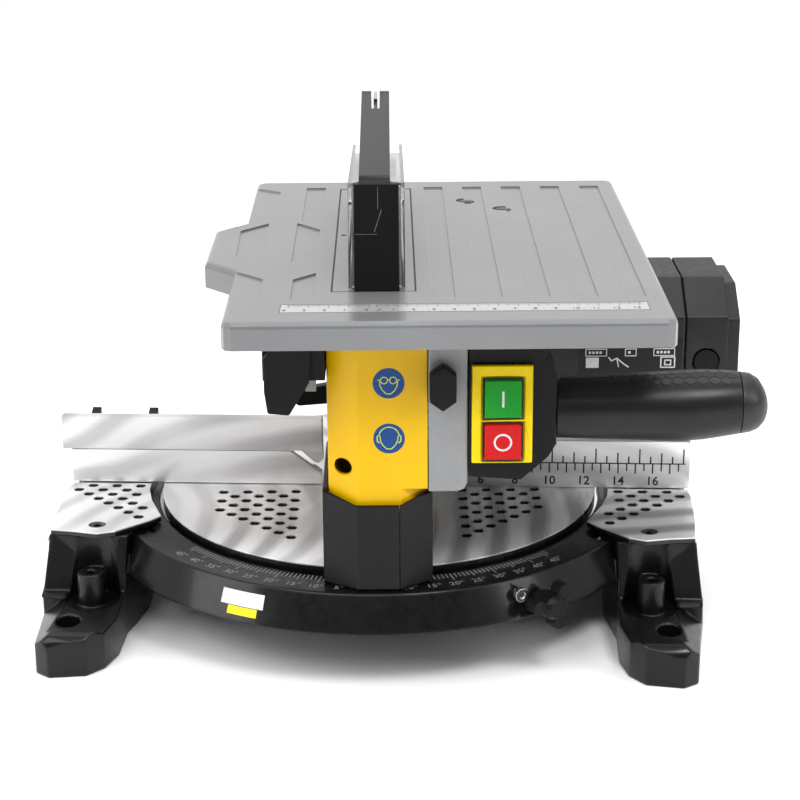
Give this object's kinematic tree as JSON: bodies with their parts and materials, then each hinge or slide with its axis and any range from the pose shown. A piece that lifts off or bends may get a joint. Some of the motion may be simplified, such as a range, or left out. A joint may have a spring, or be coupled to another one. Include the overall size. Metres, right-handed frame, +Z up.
{
  "type": "combination mitre and table saw",
  "caption": "Bench mitre saw with turntable, sliding fence, tilting head and an upper saw table; riving knife, hood, side grip.",
  "frame": {"origin": "bottom centre of the bounding box, on the bench", "axes": "+X right along the fence, +Y to the back, +Z up"},
  "size_m": [0.3956, 0.3664, 0.282],
  "materials": {
    "black_cast": "satin black powder coat on cast aluminium",
    "machined": "machined and lightly polished",
    "cast_grey": "fine cast and shot blasted",
    "steel": "turned and ground",
    "dark_steel": "blackened",
    "black_plastic": "moulded, fine grain",
    "yellow": "satin yellow coat",
    "yellow_plastic": "moulded",
    "green": "moulded",
    "red": "moulded",
    "smoked": "clear smoked polycarbonate",
    "copper": "laminated core and copper windings"
  },
  "bodies": {
    "base": {"base_casting": "black_cast", "wing_plate_right": "machined", "wing_plate_left": "machined", "wing_screw_right": "dark_steel", "wing_screw_left": "dark_steel", "pivot_bolt": "steel", "fence_right": "machined", "fence_left_lower": "machined", "mitre_stop_screw": "steel"},
    "fence_slider": {"fence_left_upper": "machined"},
    "outer_knob": {"fence_knob_outer": "black_plastic"},
    "inner_knob": {"fence_knob_inner": "black_plastic"},
    "mitre_knob": {"mitre_lock_knob": "black_plastic"},
    "turntable_group": {"turntable": "machined", "kerf_insert": "black_plastic", "bevel_bolt": "steel"},
    "bevel_handle": {"bevel_lever": "black_plastic"},
    "bracket": {"bevel_bracket": "cast_grey", "chop_pin": "steel", "return_spring": "steel"},
    "hold_pin": {"lock_down_pin": "black_plastic"},
    "head": {"head_casting": "cast_grey", "blade_casing": "yellow", "arbor_cover": "black_plastic", "guard_corner": "black_plastic", "handle_housing": "black_plastic", "switch_plate": "yellow_plastic", "grip": "black_plastic", "grip_cap": "black_plastic", "motor_housing": "black_plastic", "motor_end_cap": "black_plastic", "brush_cap_front": "black_plastic", "brush_cap_rear": "black_plastic", "stator": "steel", "riving_knife": "steel", "cable_gland": "black_plastic", "table_lock_block": "black_plastic"},
    "start": {"start_button": "green"},
    "stop": {"stop_button": "red"},
    "latch": {"latch_knob": "black_plastic"},
    "guard": {"lower_guard": "black_plastic"},
    "rotor": {"armature": "copper"},
    "blade_set": {"spindle_gear": "steel", "spindle": "steel", "flange_inner": "steel", "flange_outer": "steel", "arbor_bolt": "dark_steel", "blade": "steel"},
    "table": {"upper_table": "cast_grey", "table_insert": "cast_grey", "table_screw_left": "dark_steel", "table_screw_right": "dark_steel", "ruler_strip": "machined", "rear_column": "steel", "front_column": "steel"},
    "table_lever": {"table_lock_lever": "black_plastic"},
    "hood_carrier": {"hood_pin": "dark_steel"},
    "hood": {"hood_shell": "smoked", "hood_spine": "black_plastic"}
  },
  "joints": [
    {"name": "mitre_swivel", "type": "hinge", "parent": "base", "child": "turntable_group", "pos_m": [-0.01083, 0.00217, 0.06], "axis": [0, 0, 1], "range_deg": [-48.3, 41.7]},
    {"name": "bevel_tilt", "type": "hinge", "parent": "turntable_group", "child": "bracket", "pos_m": [-0.01119, 0.00846, 0.06], "axis": [0.0576, -0.9983, 0], "range_deg": [0, 45]},
    {"name": "head_chop", "type": "hinge", "parent": "bracket", "child": "head", "pos_m": [-0.01983, 0.15821, 0.122], "axis": [-0.9983, -0.0576, 0], "range_deg": [0, 42]},
    {"name": "guard_slide", "type": "slide", "parent": "head", "child": "guard", "axis": [0, 0, 1], "range_m": [0, 0.031]},
    {"name": "blade_spin", "type": "hinge", "parent": "head", "child": "blade_set", "pos_m": [-0.00935, -0.02349, 0.145], "axis": [0.9983, 0.0576, 0], "continuous": true},
    {"name": "motor_spin", "type": "hinge", "parent": "head", "child": "rotor", "pos_m": [-0.01119, 0.00846, 0.145], "axis": [0.9983, 0.0576, 0], "continuous": true},
    {"name": "start_press", "type": "slide", "parent": "head", "child": "start", "axis": [-0.0576, 0.9983, 0], "range_m": [0, 0.003], "stiffness_N_per_m": 300},
    {"name": "stop_press", "type": "slide", "parent": "head", "child": "stop", "axis": [-0.0576, 0.9983, 0], "range_m": [0, 0.003], "stiffness_N_per_m": 300},
    {"name": "latch_turn", "type": "hinge", "parent": "head", "child": "latch", "pos_m": [0.03109, -0.13935, 0.1685], "axis": [-0.0576, 0.9983, 0], "range_deg": [0, 90]},
    {"name": "table_height", "type": "slide", "parent": "head", "child": "table", "axis": [0, 0, 1], "range_m": [0, 0.034]},
    {"name": "table_lock_turn", "type": "hinge", "parent": "head", "child": "table_lever", "pos_m": [-0.04407, -0.13367, 0.188], "axis": [-0.0576, 0.9983, 0], "range_deg": [0, 55]},
    {"name": "hood_carrier_slide", "type": "slide", "parent": "head", "child": "hood_carrier", "axis": [0, 0, 1], "range_m": [0, 0.034]},
    {"name": "hood_lift", "type": "hinge", "parent": "hood_carrier", "child": "hood", "pos_m": [-0.0143, 0.06237, 0.233], "axis": [-0.9983, -0.0576, 0], "range_deg": [0, 35]},
    {"name": "lock_down_slide", "type": "slide", "parent": "bracket", "child": "hold_pin", "axis": [-0.9983, -0.0576, 0], "range_m": [-0.008, 0]},
    {"name": "bevel_lever_turn", "type": "hinge", "parent": "turntable_group", "child": "bevel_handle", "pos_m": [-0.01983, 0.15821, 0.06], "axis": [-0.0576, 0.9983, 0], "range_deg": [0, 45]},
    {"name": "fence_slide", "type": "slide", "parent": "base", "child": "fence_slider", "axis": [-1, 0, 0], "range_m": [0, 0.062]},
    {"name": "outer_knob_turn", "type": "hinge", "parent": "base", "child": "outer_knob", "pos_m": [-0.17883, 0.00747, 0.0872], "axis": [0, 1, 0], "range_deg": [0, 90]},
    {"name": "inner_knob_turn", "type": "hinge", "parent": "base", "child": "inner_knob", "pos_m": [-0.14483, 0.00747, 0.0872], "axis": [0, 1, 0], "range_deg": [0, 90]},
    {"name": "mitre_lock_turn", "type": "hinge", "parent": "base", "child": "mitre_knob", "pos_m": [0.08218, -0.12679, 0.0445], "axis": [0.585, -0.8111, 0], "range_deg": [0, 180]}
  ],
  "couplings": [
    {"joint": "guard_slide", "follows": "bevel_tilt", "m_per_rad": 0.037943},
    {"joint": "fence_slide", "follows": "bevel_tilt", "m_per_rad": 0.076394},
    {"joint": "motor_spin", "follows": "blade_spin", "ratio": -3.4444},
    {"joint": "hood_carrier_slide", "follows": "table_height", "ratio": 1}
  ]
}
